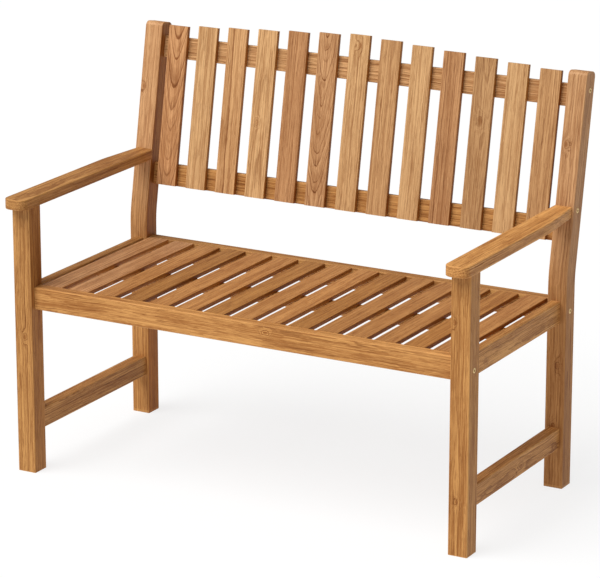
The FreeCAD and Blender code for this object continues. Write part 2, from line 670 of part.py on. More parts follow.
def make_bearer():
    """Bearer between the side rails, which every seat slat is screwed to from below."""
    section = ("bench.bearer_width", "bench.bearer_height")
    body = board("seat_middle_bearer", "X", f"{SIDE_RAIL_INNER} * 2", section, "bench.slat_ease")
    dowel_depth = f"{DOWEL_HALF} + bench.bearer_dowel_offset"
    for end in (-1, 1):
        face = signed(end, SIDE_RAIL_INNER)
        bore(body, "X", face, -end, [("0", "0")], DOWEL_HOLE, dowel_depth)
    underside = "-bench.bearer_height / 2"
    screw_holes(body, "Z", underside, 1, seat_slat_x(0), "bench.seat_slat_pitch", SEAT_SLATS,
                "bench.bearer_height")
    place(body, "0", "bench.bearer_depth", BEARER_Z)
    subparts.append(body)


def make_seat_slat(index):
    """Seat slat with a tongue at each end, midway between the seat rails."""
    section = ("bench.seat_slat_width", "bench.seat_slat_thick")
    length = f"({SLAT_END} - {SLAT_START})"
    middle = f"({SLAT_END} + {SLAT_START}) / 2"
    body = board(f"seat_slat_{index + 1:02d}", "Y", length, section, "bench.slat_ease")
    tongue = sketch_across(body, "Y")
    tongue_z = "bench.seat_slat_thick / 2 - bench.tongue_drop - bench.tongue_thick / 2"
    add_rectangle(tongue, ("0", tongue_z), ("bench.tongue_width", "bench.tongue_thick"))
    extrude(body, "Pad", tongue, "Y", f"{length} + bench.tongue_length * 2", 0)
    pilot = "bench.seat_screw_length - bench.bearer_height + bench.screw_relief"
    spot = ("0", f"bench.bearer_depth - {middle}")
    bore(body, "Z", "-bench.seat_slat_thick / 2", 1, [spot], "bench.screw_size + bench.screw_gap", pilot)
    place(body, seat_slat_x(index), middle, SLAT_Z)
    subparts.append(body)


# Back ------------------------------------------------------------------------------------------

def place_raked(piece, across, rise, depth, tilt="-bench.rake"):
    back, height = raked(rise, depth)
    place(piece, across, f"bench.post_depth + {back}", height, "X", tilt)


def make_back_rail(name, rise, bolted):
    """Back rail between the rear posts, drilled from behind for one screw per slat."""
    section = ("bench.back_rail_thick", "bench.back_rail_height")
    body = board(name, "X", f"{POST_INNER} * 2", section, "bench.rail_ease")
    if bolted:
        bolt = ("bench.top_bolt_shift", "bench.top_bolt_rise")
        dowels = [("0", "-bench.top_dowel_drop")]
        bore_rail_ends(body, POST_INNER, bolt, dowels, "-bench.back_rail_height / 2")
    else:
        for end in (-1, 1):
            dowels = pair_spots("0", "0", "bench.back_dowel_rise")
            bore(body, "X", signed(end, POST_INNER), -end, dowels, DOWEL_HOLE, DOWEL_HALF)
    screw_holes(body, "Y", "bench.back_rail_thick / 2", -1, back_slat_x(0), "bench.back_slat_pitch",
                BACK_SLATS, "bench.back_rail_thick")
    place_raked(body, "0", rise, BACK_RAIL_LINE)
    subparts.append(body)


def make_back_slat(index):
    """Back slat: its own origin is in the middle of its lower end."""
    body = new_body(f"back_slat_{index + 1:02d}")
    outline = sketch_across(body, "Z")
    add_rectangle(outline, ("0", "0"), ("bench.back_slat_width", "bench.back_slat_thick"))
    steps = abs(index - (BACK_SLATS - 1) // 2)
    length = f"bench.back_slat_top - bench.back_slat_foot - bench.back_slat_step * {steps}"
    extrude(body, "Pad", outline, "Z", length, 1)
    ease(body, "bench.slat_ease", runs_along("Z"))
    spots = [("0", f"bench.{rise} - bench.back_slat_foot") for rise in ("bottom_rail_rise", "top_rail_rise")]
    pilot = "bench.back_screw_length - bench.back_rail_thick + bench.screw_relief"
    bore(body, "Y", "bench.back_slat_thick / 2", -1, spots, "bench.screw_size + bench.screw_gap", pilot)
    place_raked(body, back_slat_x(index), "bench.back_slat_foot", BACK_SLAT_LINE)
    subparts.append(body)


# Fasteners -------------------------------------------------------------------------------------

def make_bolt(name, length):
    """Round-headed bolt along Z, its head below its own origin, with a hexagon socket."""
    body = new_body(name)
    profile = sketch_across(body, "Y")
    head = "bench.head_size / 2"
    shank = "bench.bolt_size / 2"
    low = "-bench.head_thick"
    add_polygon(profile, [("0", low), (head, low), (head, "0"), (shank, "0"),
                          (shank, f"{length} - bench.bolt_tip"), (f"{shank} - bench.bolt_tip", length),
                          ("0", length)])
    turn_profile(body, "Revolution", profile)
    rim = amount(low)
    ease(body, "bench.head_round", lambda edge: math.isclose(edge.CenterOfMass.z, rim))
    socket = sketch_across(body, "Z", low)
    add_hexagon(socket, "bench.socket_size")
    extrude(body, "Pocket", socket, "Z", "bench.socket_depth", 1)
    return body


def make_barrel_nut(name):
    """Cross dowel nut along Z, with its bolt hole along X and a screwdriver slot below."""
    body = new_body(name)
    outline = sketch_across(body, "Z")
    add_circle(outline, ("0", "0"), "bench.nut_size")
    extrude(body, "Pad", outline, "Z", "bench.nut_length", 0)
    bore(body, "X", "0", 0, [("0", "0")], "bench.bolt_size + bench.bolt_gap", "bench.nut_size * 2")
    slot = sketch_across(body, "Z", "-bench.nut_length / 2")
    add_rectangle(slot, ("0", "0"), ("bench.nut_size * 2", "bench.nut_slot"))
    extrude(body, "Pocket", slot, "Z", "bench.nut_slot", 1)
    return body


def make_dowel(name):
    """Wooden dowel along Z about its middle, with chamfered ends."""
    body = new_body(name)
    profile = sketch_across(body, "Y")
    radius = "bench.dowel_size / 2"
    narrow = f"{radius} - bench.dowel_ease"
    end = "bench.dowel_length / 2"
    shoulder = f"{end} - bench.dowel_ease"
    add_polygon(profile, [("0", f"-{end}"), (narrow, f"-{end}"), (radius, f"-({shoulder})"),
                          (radius, shoulder), (narrow, end), ("0", end)])
    turn_profile(body, "Revolution", profile)
    return body


def make_screw(name, length):
    """Countersunk wood screw along Z, its flat head at its own origin, with a cross recess."""
    body = new_body(name)
    profile = sketch_across(body, "Y")
    shank = "bench.screw_size / 2"
    add_polygon(profile, [("0", "0"), ("bench.screw_head / 2", "0"), (shank, "bench.screw_cone"),
                          (shank, f"{length} - bench.screw_point"), ("0", length)])
    turn_profile(body, "Revolution", profile)
    recess = sketch_across(body, "Z")
    far = "bench.recess_size / 2"
    near = "bench.recess_arm / 2"
    quarter = [(near, far), (near, near), (far, near), (far, f"-{near}"), (near, f"-{near}")]
    half = quarter + [(near, f"-{far}")]
    other_half = [(f"-{u}", f"-({v})") for u, v in half]
    add_polygon(recess, half + other_half)
    extrude(body, "Pocket", recess, "Z", "bench.recess_depth", 1)
    return body


def copies(name, master, spots):
    """One node of identical fasteners: each spot gives place, and the axis and angle of its turn."""
    links = []
    for number, (across, depth, height, axis, angle) in enumerate(spots, start=1):
        link = document.addObject("App::Link", f"{name}_{number}")
        link.LinkedObject = master
        link.LinkTransform = False
        place(link, across, depth, height, axis, angle)
        links.append(link)
    group = document.addObject("Part::Compound", name)
    group.Label = name
    group.Links = links
    subparts.append(group)


def behind_post(spot):
    """A spot of the rear post's own frame, measured from the front legs instead."""
    return f"(bench.post_depth + {spot[0]})", spot[1]


def make_bolts():
    """Bolts through the legs and posts into the rails, and through the armrests' tenons."""
    bolt = make_bolt("frame_bolt_master", "bench.bolt_length")
    short_bolt = make_bolt("arm_bolt_master", "bench.arm_bolt_length")
    nut = make_barrel_nut("barrel_nut_master")
    post_face = "bench.leg_span / 2 - bench.post_inset - bench.head_thick"
    leg_face = "bench.leg_span / 2 - bench.head_thick"
    front = (HALF_LEG, SEAT_RAIL_Z)
    rear = behind_post((HALF_LEG, SEAT_RAIL_Z))
    top = behind_post(raked(*TOP_BOLT))
    arm = behind_post((ARM_BOLT_DEPTH, ARM_Z))
    long_spots = []
    short_spots = []
    nut_spots = []
    for side in (-1, 1):
        inward = f"{-90 * side}"
        for (depth, height), face, inner, tilt in (
            (front, leg_face, LEG_INNER, "0"),
            (rear, post_face, POST_INNER, "0"),
            (top, post_face, POST_INNER, "-bench.rake"),
        ):
            long_spots.append((signed(side, face), depth, height, "Y", inward))
            nut_x = signed(side, f"{inner} - bench.nut_setback")
            nut_spots.append((nut_x, depth, height, "X", tilt))
        short_spots.append((signed(side, post_face), *arm, "Y", inward))
    copies("frame_bolts", bolt, long_spots)
    copies("armrest_bolts", short_bolt, short_spots)
    copies("barrel_nuts", nut, nut_spots)


def make_dowels():
    """Dowels of the side frames, the rails, the armrests and the middle bearer."""
    dowel = make_dowel("dowel_master")
    side_frame = []
    rails = []
    arms = []
    bearer = []
    for side in (-1, 1):
        for depth, middle in (("bench.leg_size + bench.dowel_offset", LEG_X),
                              ("bench.post_depth - bench.dowel_offset", POST_X)):
            for across, height in side_spots(middle):
                side_frame.append((signed(side, f"{middle} + {across}"), depth, height, "X", "90"))
        for depth, height in pair_spots(HALF_LEG, SEAT_RAIL_Z, "bench.rail_dowel_rise"):
            rails.append((signed(side, LEG_INNER), depth, height, "Y", "90"))
            rails.append((signed(side, POST_INNER), *behind_post((depth, height)), "Y", "90"))
        for rise in ("bench.top_rail_rise - bench.top_dowel_drop",
                     "bench.bottom_rail_rise - bench.back_dowel_rise",
                     "bench.bottom_rail_rise + bench.back_dowel_rise"):
            spot = behind_post(raked(rise, BACK_RAIL_LINE))
            rails.append((signed(side, POST_INNER), *spot, "Y", "90"))
        for spread in (-1, 1):
            across = signed(side, f"{LEG_X} + {spread} * bench.arm_dowel_spread")
            arms.append((across, HALF_LEG, "bench.leg_height - bench.dowel_offset", "X", "0"))
        bearer_x = signed(side, f"{SIDE_RAIL_INNER} - bench.bearer_dowel_offset")
        bearer.append((bearer_x, "bench.bearer_depth", BEARER_Z, "Y", "90"))
    copies("side_frame_dowels", dowel, side_frame)
    copies("rail_dowels", dowel, rails)
    copies("armrest_dowels", dowel, arms)
    copies("bearer_dowels", dowel, bearer)


def make_screws():
    """One screw up through the bearer into each seat slat, and two into each back slat."""
    seat_screw = make_screw("seat_screw_master", "bench.seat_screw_length")
    back_screw = make_screw("back_screw_master", "bench.back_screw_length")
    underside = f"({BEARER_Z} - bench.bearer_height / 2)"
    seat_spots = [(seat_slat_x(index), "bench.bearer_depth", underside, "X", "0")
                  for index in range(SEAT_SLATS)]
    back_face = "bench.back_rail_depth + bench.back_rail_thick"
    back_spots = []
    for rise in ("bench.bottom_rail_rise", "bench.top_rail_rise"):
        depth, height = behind_post(raked(rise, back_face))
        for index in range(BACK_SLATS):
            back_spots.append((back_slat_x(index), depth, height, "X", "90 - bench.rake"))
    copies("seat_slat_screws", seat_screw, seat_spots)
    copies("back_slat_screws", back_screw, back_spots)


# Checks and files ------------------------------------------------------------------------------

def check_model():
    """Stop on a failed object, a cut that removes nothing, or a sub-part that is not sound."""
    for item in document.Objects:
        if "Invalid" in item.State or "Error" in item.State:
            raise RuntimeError(f"{item.Label} failed: {item.State}")
        if item.TypeId in ("PartDesign::Pocket", "PartDesign::Groove"):
            removed = item.BaseFeature.Shape.Volume - item.Shape.Volume
            if removed < 1:
                raise RuntimeError(f"{item.Label} removes {removed:.2f} cubic millimetres")
    for subpart in subparts:
        shape = subpart.Shape
        if shape.isNull() or not shape.isValid():
            raise RuntimeError(f"{subpart.Label} has no valid shape")


def write_files():
    os.makedirs("parts", exist_ok=True)
    for subpart in subparts:
        subpart.Shape.exportStep(f"parts/{subpart.Label}.step")


make_front_leg()
make_rear_post()
make_side_rail()
make_stretcher()
make_armrest()
make_seat_rail("seat_front_rail", LEG_INNER, FRONT_RAIL_DEPTH, HALF_LEG, 1)
make_seat_rail("seat_rear_rail", POST_INNER, REAR_RAIL_DEPTH, f"(bench.post_depth + {HALF_LEG})", -1)
make_bearer()
for slat in range(SEAT_SLATS):
    make_seat_slat(slat)
make_back_rail("back_top_rail", "bench.top_rail_rise", bolted=True)
make_back_rail("back_bottom_rail", "bench.bottom_rail_rise", bolted=False)
for slat in range(BACK_SLATS):
    make_back_slat(slat)
make_bolts()
make_dowels()
make_screws()
document.recompute()
check_model()
write_files()
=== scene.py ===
import math
import random

import bpy
from mathutils import Euler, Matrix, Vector


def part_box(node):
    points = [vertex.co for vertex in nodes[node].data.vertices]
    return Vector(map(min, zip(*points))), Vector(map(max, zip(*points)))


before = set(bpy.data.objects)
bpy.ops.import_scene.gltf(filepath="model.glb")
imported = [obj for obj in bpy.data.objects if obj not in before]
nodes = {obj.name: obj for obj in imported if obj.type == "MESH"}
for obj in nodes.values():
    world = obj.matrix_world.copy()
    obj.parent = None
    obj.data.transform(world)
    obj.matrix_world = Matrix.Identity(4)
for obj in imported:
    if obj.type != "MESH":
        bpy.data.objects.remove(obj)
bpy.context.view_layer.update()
scene = bpy.context.scene

MM = 0.001

# Camera: its angle and distance, and the point that it aims at: across from the middle of the
# bench, behind the front legs' front faces, and above the floor.
VIEW_AZIMUTH = math.radians(29.13)
VIEW_ELEVATION = math.radians(16.53)
VIEW_DISTANCE = 7.072
VIEW_LENS = 192.28
SENSOR_WIDTH = 36.0
FAR_CLIP = 200.0
AIM_ACROSS = 0.0076
AIM_BEHIND_LEGS = 0.2795
AIM_HEIGHT = 0.4353

# Light: a wide soft key from the front left, an even white sky, and a floor that glows a little.
TO_SUN = (-0.29, -0.48, 0.83)
SUN_STRENGTH = 3.35
SUN_SPREAD = 50
SKY_STRENGTH = 0.29
WHITE = (1.0, 1.0, 1.0, 1)
FLOOR_RADIUS = 40.0
FLOOR_GRAY = (0.18, 0.18, 0.18, 1)
FLOOR_ROUGHNESS = 0.9
FLOOR_GLOW = 0.80

# The back leans by this angle above the turn in the rear posts.
RAKE = math.radians(10.5)
TURN_HEIGHT = 0.485
TURN_BLEND = 0.06

# Half sizes, in millimetres, of the boards that lean, whose boxes don't show their own sizes.
BACK_SLAT_HALF = (25.5, 5.5, 200)
BACK_RAIL_HALF = (25, 11, 514)
POST_HALF = (22.5, 22.5, 460)


# Node graphs -----------------------------------------------------------------------------------

class Graph:
    """Short calls for building one node tree."""

    def __init__(self, tree):
        self.tree = tree

    def put(self, kind, inputs=(), **settings):
        """A node with its settings, and its inputs as values or links, by name or number."""
        node = self.tree.nodes.new(kind)
        for name, value in settings.items():
            setattr(node, name, value)
        for key, value in dict(inputs).items():
            self.feed(node.inputs[key], value)
        return node

    def feed(self, socket, value):
        if isinstance(value, bpy.types.NodeSocket):
            self.tree.links.new(value, socket)
        elif value is not None:
            socket.default_value = value

    def math(self, operation, *values, clamp=False):
        node = self.put("ShaderNodeMath", enumerate(values), operation=operation, use_clamp=clamp)
        return node.outputs[0]

    def vector(self, operation, *values):
        node = self.put("ShaderNodeVectorMath", operation=operation)
        for socket, value in zip(node.inputs, values):
            self.feed(socket, value)
        return node.outputs["Value" if operation == "LENGTH" else "Vector"]

    def scaled(self, vector, factors):
        return self.vector("MULTIPLY", vector, factors)

    def split(self, vector):
        return self.put("ShaderNodeSeparateXYZ", {0: vector}).outputs

    def join(self, x, y, z):
        return self.put("ShaderNodeCombineXYZ", {0: x, 1: y, 2: z}).outputs[0]

    def noise(self, vector, scale=1.0, detail=2.0, roughness=0.5, seed=0.0, output="Factor"):
        node = self.put(
            "ShaderNodeTexNoise",
            {"Vector": vector, "W": seed, "Scale": scale, "Detail": detail, "Roughness": roughness},
            noise_dimensions="4D",
        )
        return node.outputs[0 if output == "Factor" else 1]

    def step(self, value, low, high, start=0.0, end=1.0):
        """A smooth step from start to end as value goes from low to high."""
        node = self.put(
            "ShaderNodeMapRange",
            {"Value": value, "From Min": low, "From Max": high, "To Min": start, "To Max": end},
            interpolation_type="SMOOTHSTEP",
        )
        return node.outputs["Result"]

    def tint(self, blend, factor, below, above):
        node = self.put("ShaderNodeMix", data_type="RGBA", blend_type=blend)
        self.feed(node.inputs["Factor"], factor)
        self.feed(node.inputs[6], below)
        self.feed(node.inputs[7], above)
        return node.outputs[2]


def new_group(name, inputs, outputs):
    """A node group with its inputs and outputs, and the graph, inlet and outlet to build it with."""
    tree = bpy.data.node_groups.new(name, "ShaderNodeTree")
    for label, kind, value in inputs:
        socket = tree.interface.new_socket(label, in_out="INPUT", socket_type=f"NodeSocket{kind}")
        socket.default_value = value
    for label, kind in outputs:
        tree.interface.new_socket(label, in_out="OUTPUT", socket_type=f"NodeSocket{kind}")
    graph = Graph(tree)
    inlet = graph.put("NodeGroupInput").outputs
    outlet = graph.put("NodeGroupOutput").inputs
    return tree, graph, inlet, outlet


def new_material(name):
    """A material with its shader, and the graph to build the rest of it with."""
    material = bpy.data.materials.new(name)
    material.use_nodes = True
    return material, material.node_tree.nodes["Principled BSDF"], Graph(material.node_tree)


# Wood ------------------------------------------------------------------------------------------
# Every board has its own solid block of wood: u across the board, v through it, w along its
# grain, in millimetres from the board's middle. Growth rings lie about a pith line outside or
# inside the board, so faces, edges and end grain show the same rings cut in different ways.

# Mean colour of each kind of board, and what its pale and deep streaks are against the mean.
TONES = {
    "honey": (0.555, 0.318, 0.145),
    "tan": (0.515, 0.278, 0.122),
    "russet": (0.48, 0.240, 0.105),
    "rosy": (0.49, 0.260, 0.120),
    "amber": (0.452, 0.214, 0.067),
    "umber": (0.41, 0.188, 0.062),
    "chestnut": (0.345, 0.152, 0.043),
}
PALE_STREAK = (1.22, 1.28, 1.30)
DEEP_STREAK = (0.72, 0.62, 0.52)
RING_LINE = (0.45, 0.32, 0.22, 1)
PORE_LINE = (0.48, 0.38, 0.32, 1)
KNOT_HEART = (0.72, 0.60, 0.50, 1)
# Painted shade: the tint that darkens a board's narrow sides.
SIDE_SHADE_TINT = (0.70, 0.50, 0.24, 1)

# How much each layer of figure moves a spot between the pale and the deep colour.
BAND_WEIGHT = 1.2
STREAK_WEIGHT = 1.9
FIBRE_WEIGHT = 3.6
THREAD_WEIGHT = 2.6
CLOUD_WEIGHT = 1.0
PORE_STRENGTH = 0.8
# How far the painted highlight along the arrises moves a spot toward the pale colour.
ARRIS_HIGHLIGHT_STRENGTH = 0.45

# Knots push the rings aside by this many ring widths, and darken their lines.
KNOT_SWELL = 2.6
KNOT_LINES = 2.5
UNEVEN_RINGS = 2.2

# A ring darkens slowly over its late wood, and ends in a sharp rim.
LATE_DARKNESS = 0.22
RIM_DARKNESS = 0.85

WOOD_SPECULAR = 0.14
GRAIN_BUMP = 0.4
GRAIN_DEPTH = 0.0004

# Where a rear post's colour goes over from its foot's to its top's, from the post's middle.
FOOT_TURNS = (-130, 180)


def knot_group():
    """How near a point is to the middle of a knot, 0 to 1. Shrink is 0 along the knot's own way."""
    tree, g, inlet, outlet = new_group(
        "knot",
        [("Position", "Vector", (0, 0, 0)), ("Place", "Vector", (0, 0, 0)),
         ("Shrink", "Vector", (1, 0, 0.55)), ("Size", "Float", 4.0), ("Other", "Float", 0.0)],
        [("Nearness", "Float")],
    )
    offset = g.vector("SUBTRACT", inlet["Position"], inlet["Place"])
    flat = g.vector("MULTIPLY", offset, inlet["Shrink"])
    wobble = g.math("MULTIPLY_ADD", g.noise(offset, 0.15, 2.0), 0.9, 0.55)
    distance = g.math("DIVIDE", g.math("MULTIPLY", g.vector("LENGTH", flat), wobble), inlet["Size"])
    nearness = g.math("EXPONENT", g.math("MULTIPLY", g.math("MULTIPLY", distance, distance), -1.0))
    g.feed(outlet["Nearness"], g.math("MAXIMUM", nearness, inlet["Other"]))
    return tree


def wood_group():
    """Colour, roughness and surface height of oiled hardwood."""
    tree, g, inlet, outlet = new_group(
        "wood",
        [("Position", "Vector", (0, 0, 0)), ("Seed", "Float", 0.0), ("Pale", "Color", (1, 1, 1, 1)),
         ("Deep", "Color", (1, 1, 1, 1)), ("Pith", "Vector", (60, 20, 0)), ("Taper", "Float", 0.0),
         ("Ring", "Float", 4.0), ("Wander", "Float", 5.0), ("Line", "Float", 0.35),
         ("Knot", "Float", 0.0), ("Half", "Vector", (25, 5, 200)), ("Edge", "Float", 0.0)],
        [("Color", "Color"), ("Roughness", "Float"), ("Height", "Float")],
    )
    position = inlet["Position"]
    seed = inlet["Seed"]
    middle_gray = (0.5, 0.5, 0.5)

    # Ring distance from the pith, which drifts slowly along the grain and ripples a little.
    drift_noise = g.noise(g.scaled(position, (0.022, 0.022, 0.0045)), 1.0, 2.0, seed=seed, output="Color")
    drift = g.vector("MULTIPLY", g.vector("SUBTRACT", drift_noise, middle_gray),
                     g.join(inlet["Wander"], inlet["Wander"], 0.0))
    ripple_noise = g.noise(g.scaled(position, (0.12, 0.12, 0.03)), 1.0, 2.0, seed=seed, output="Color")
    ripple = g.scaled(g.vector("SUBTRACT", ripple_noise, middle_gray), (3.0, 3.0, 0.0))
    place = g.vector("ADD", g.vector("ADD", position, drift), ripple)
    u, v, w = g.split(g.vector("SUBTRACT", place, inlet["Pith"]))
    radius = g.vector("LENGTH", g.join(u, v, 0.0))
    swell = g.math("MULTIPLY", g.math("MULTIPLY", inlet["Knot"], inlet["Ring"]), KNOT_SWELL)
    grown = g.math("ADD", g.math("MULTIPLY_ADD", w, inlet["Taper"], radius), swell)
    count = g.math("DIVIDE", grown, inlet["Ring"])
    uneven = g.noise(g.join(count, 0.0, 0.0), 0.6, 1.0, seed=seed)
    count = g.math("MULTIPLY_ADD", uneven, UNEVEN_RINGS, count)
    phase = g.math("FRACT", count)
    luck = g.put("ShaderNodeTexWhiteNoise", {"Vector": g.join(g.math("FLOOR", count), seed, 0.0)},
                 noise_dimensions="3D").outputs[0]
    strength = g.step(luck, 0.1, 0.9, 0.35, 1.0)
    late = g.math("MULTIPLY", g.step(phase, 0.25, 0.97), g.step(phase, 1.0, 0.985))
    rim = g.math("MULTIPLY", g.step(phase, 0.80, 0.94), g.step(phase, 1.0, 0.96))
    darkness = g.math("MULTIPLY_ADD", late, LATE_DARKNESS, g.math("MULTIPLY", rim, RIM_DARKNESS))
    line = g.math("MULTIPLY", darkness, strength)
    line = g.math("MULTIPLY", line, g.math("MULTIPLY_ADD", inlet["Knot"], KNOT_LINES, 1.0))

    # Bands and streaks follow the rings; fibres, threads and pores run straight along the grain.
    along = g.math("MULTIPLY", w, 0.001)
    aside = g.math("MULTIPLY_ADD", seed, 1.7, g.math("MULTIPLY", g.math("ADD", u, v), 0.012))
    bands = g.noise(g.join(g.math("MULTIPLY", grown, 0.06), aside, along), 1.0, 2.0, seed=seed)
    streak_base = g.join(g.math("MULTIPLY", grown, 0.30), aside, g.math("MULTIPLY", w, 0.005))
    streak = g.noise(streak_base, 1.0, 3.0, 0.65, seed=g.math("ADD", seed, 11.0))
    fibre = g.noise(g.join(u, v, g.math("MULTIPLY", w, 0.008)), 0.60, 3.0, 0.8, seed=seed)
    thread_base = g.join(u, v, g.math("MULTIPLY", w, 0.004))
    thread = g.noise(thread_base, 0.50, 3.0, 0.75, seed=g.math("ADD", seed, 37.0))
    dash_base = g.join(u, v, g.math("MULTIPLY", w, 0.018))
    dash = g.step(g.noise(dash_base, 0.80, 2.0, 0.6, seed=g.math("ADD", seed, 23.0)), 0.56, 0.68)
    clouds = g.noise(g.scaled(position, (0.035, 0.035, 0.010)), 1.0, 3.0, 0.6, seed=seed)

    depth = 0.5
    for part, weight in (
        (bands, BAND_WEIGHT),
        (streak, STREAK_WEIGHT),
        (fibre, FIBRE_WEIGHT),
        (thread, THREAD_WEIGHT),
        (clouds, CLOUD_WEIGHT),
    ):
        depth = g.math("MULTIPLY_ADD", g.math("SUBTRACT", part, 0.5), weight, depth)
    color = g.tint("MIX", g.math("ADD", depth, 0.0, clamp=True), inlet["Pale"], inlet["Deep"])
    color = g.tint("MULTIPLY", g.math("MULTIPLY", line, inlet["Line"], clamp=True), color, RING_LINE)
    color = g.tint("MULTIPLY", g.math("MULTIPLY", dash, PORE_STRENGTH), color, PORE_LINE)
    heart = g.step(inlet["Knot"], 0.72, 0.98)
    color = g.tint("MULTIPLY", heart, color, KNOT_HEART)

    # Painted highlight: the arrises are made paler, toward the pale colour. The second smallest distance to
    # a side is the distance to an arris.
    to_u, to_v, to_w = g.split(g.vector("SUBTRACT", inlet["Half"], g.vector("ABSOLUTE", position)))
    lesser = g.math("MINIMUM", to_u, to_v)
    greater = g.math("MAXIMUM", to_u, to_v)
    to_arris = g.math("MAXIMUM", lesser, g.math("MINIMUM", greater, to_w))
    ragged = g.math("MULTIPLY_ADD", g.math("SUBTRACT", clouds, 0.5), 3.0, to_arris)
    arris_highlight = g.step(ragged, 3.0, 0.8)
    color = g.tint("MIX", g.math("MULTIPLY", arris_highlight, ARRIS_HIGHLIGHT_STRENGTH), color, inlet["Pale"])

    # Painted shade: the narrow sides of a board, across u, are darkened for the shade that falls between
    # slats and on sides that face in.
    painted_side_shade = g.math("MULTIPLY", g.step(to_u, 1.1, 0.5), inlet["Edge"])
    color = g.tint("MULTIPLY", painted_side_shade, color, SIDE_SHADE_TINT)
    g.feed(outlet["Color"], color)

    rough = g.math("MULTIPLY_ADD", fibre, 0.18, 0.42)
    rough = g.math("MULTIPLY_ADD", dash, 0.16, rough)
    g.feed(outlet["Roughness"], g.math("MULTIPLY_ADD", arris_highlight, -0.08, rough))
    height = g.math("MULTIPLY_ADD", fibre, 0.6, g.math("MULTIPLY", line, 0.3))
    g.feed(outlet["Height"], g.math("MULTIPLY_ADD", dash, -0.8, height))
    return tree


KNOT = knot_group()
WOOD = wood_group()


def streaks(tone, value, contrast):
    """The pale and deep colours of a board, more or less far apart from its mean colour."""
    pair = []
    for factors in (PALE_STREAK, DEEP_STREAK):
        color = [value * part * (1 + contrast * (factor - 1)) for part, factor in zip(TONES[tone], factors)]
        pair.append((*color, 1))
    return pair


# edge sets how strongly painted shade darkens the board's narrow sides.
def wood_material(name, middle, turn, half, seed, tone="amber", value=1.0, pith=(60, 25), taper=0.0,
                  ring=4.0, wander=6.0, line=0.45, knots=(), edge=0.0, contrast=1.0, foot=None, bend=False):
    """The material of one board: its block of wood turned and shifted into place."""
    material, shader, g = new_material(name)
    coordinates = g.put("ShaderNodeTexCoord").outputs["Object"]
    if bend:
        coordinates = straightened(g, coordinates)
    mapping = g.put("ShaderNodeMapping",
                    {"Vector": coordinates, "Location": middle, "Rotation": turn, "Scale": (MM, MM, MM)},
                    vector_type="TEXTURE")
    position = mapping.outputs[0]
    nearness = 0.0
    for through, across, along, size in knots:
        knot = g.put("ShaderNodeGroup", node_tree=KNOT)
        place = (across, 0, along) if through == "v" else (0, across, along)
        shrink = (1, 0, 0.55) if through == "v" else (0, 1, 0.55)
        for key, given in (("Position", position), ("Place", place), ("Shrink", shrink),
                           ("Size", size), ("Other", nearness)):
            g.feed(knot.inputs[key], given)
        nearness = knot.outputs["Nearness"]
    pale, deep = streaks(tone, value, contrast)
    if foot:
        foot_pale, foot_deep = streaks(foot, value, contrast)
        height = g.split(position)["Z"]
        upper = g.step(height, *FOOT_TURNS)
        pale = g.tint("MIX", upper, foot_pale, pale)
        deep = g.tint("MIX", upper, foot_deep, deep)
    wood = g.put("ShaderNodeGroup", node_tree=WOOD)
    settings = {"Position": position, "Seed": seed, "Pale": pale, "Deep": deep,
                "Pith": (*pith, 0), "Taper": taper, "Ring": ring, "Wander": wander, "Line": line,
                "Knot": nearness, "Half": half, "Edge": edge}
    for key, given in settings.items():
        g.feed(wood.inputs[key], given)
    bump = g.put("ShaderNodeBump",
                 {"Height": wood.outputs["Height"], "Strength": GRAIN_BUMP, "Distance": GRAIN_DEPTH})
    g.feed(shader.inputs["Base Color"], wood.outputs["Color"])
    g.feed(shader.inputs["Roughness"], wood.outputs["Roughness"])
    g.feed(shader.inputs["Normal"], bump.outputs[0])
    shader.inputs["Specular IOR Level"].default_value = WOOD_SPECULAR
    return material


def straightened(g, coordinates):
    """Shifts the raked part of a rear post forward, so that its grain runs up the bent post."""
    x, y, z = g.split(coordinates)
    above = g.math("SMOOTH_MAX", g.math("SUBTRACT", z, TURN_HEIGHT), 0.0, TURN_BLEND)
    return g.join(x, g.math("MULTIPLY_ADD", above, -math.tan(RAKE), y), z)


# Which way a board's own w axis, its grain, points.
UPRIGHT = (0.0, 0.0, 0.0)
RAKED = (-RAKE, 0.0, 0.0)
BACKWARD = (-math.pi / 2, 0.0, 0.0)
SIDEWAYS = (0.0, math.pi / 2, 0.0)
SIDEWAYS_RAKED = tuple((Euler((-RAKE, 0, 0)).to_matrix() @ Euler(SIDEWAYS).to_matrix()).to_euler())


def finish_board(node, turn, seed, half=None, **looks):
    """Give one CAD board its own wood."""
    low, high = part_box(node)
    middle = (low + high) / 2
    if looks.get("bend"):
        middle.y = low.y + half[1] * MM
    if half is None:
        size = (high - low) / 2 / MM
        turned = {BACKWARD: (size.x, size.z, size.y), SIDEWAYS: (size.z, size.y, size.x)}
        half = turned.get(turn, tuple(size))
    material = wood_material(f"wood_{node}", middle, turn, half, seed, **looks)
    for slot in nodes[node].material_slots:
        slot.material = material


def plain_looks(tone, value, rng):
    """Straight-grained or gently figured wood, drawn at random."""
    side = rng.choice((-1, 1))
    return {
        "tone": tone,
        "value": value * rng.uniform(0.92, 1.08),
        "pith": (side * rng.uniform(25, 90), rng.uniform(15, 60)),
        "taper": rng.uniform(-0.02, 0.02),
        "ring": rng.uniform(3.5, 7.0),
        "wander": rng.uniform(6, 14),
        "line": rng.uniform(0.4, 0.8),
    }


rng = random.Random(11)

# A board's seed picks its own part of the noise.
BACK_SEED_STEP = 3.7
FIRST_SEAT_SEED = 50
SEAT_SEED_STEP = 2.3
FRAME_SEEDS = (100, 300)
SEAT_VALUE = 1.09
FRAME_CONTRAST = 1.2

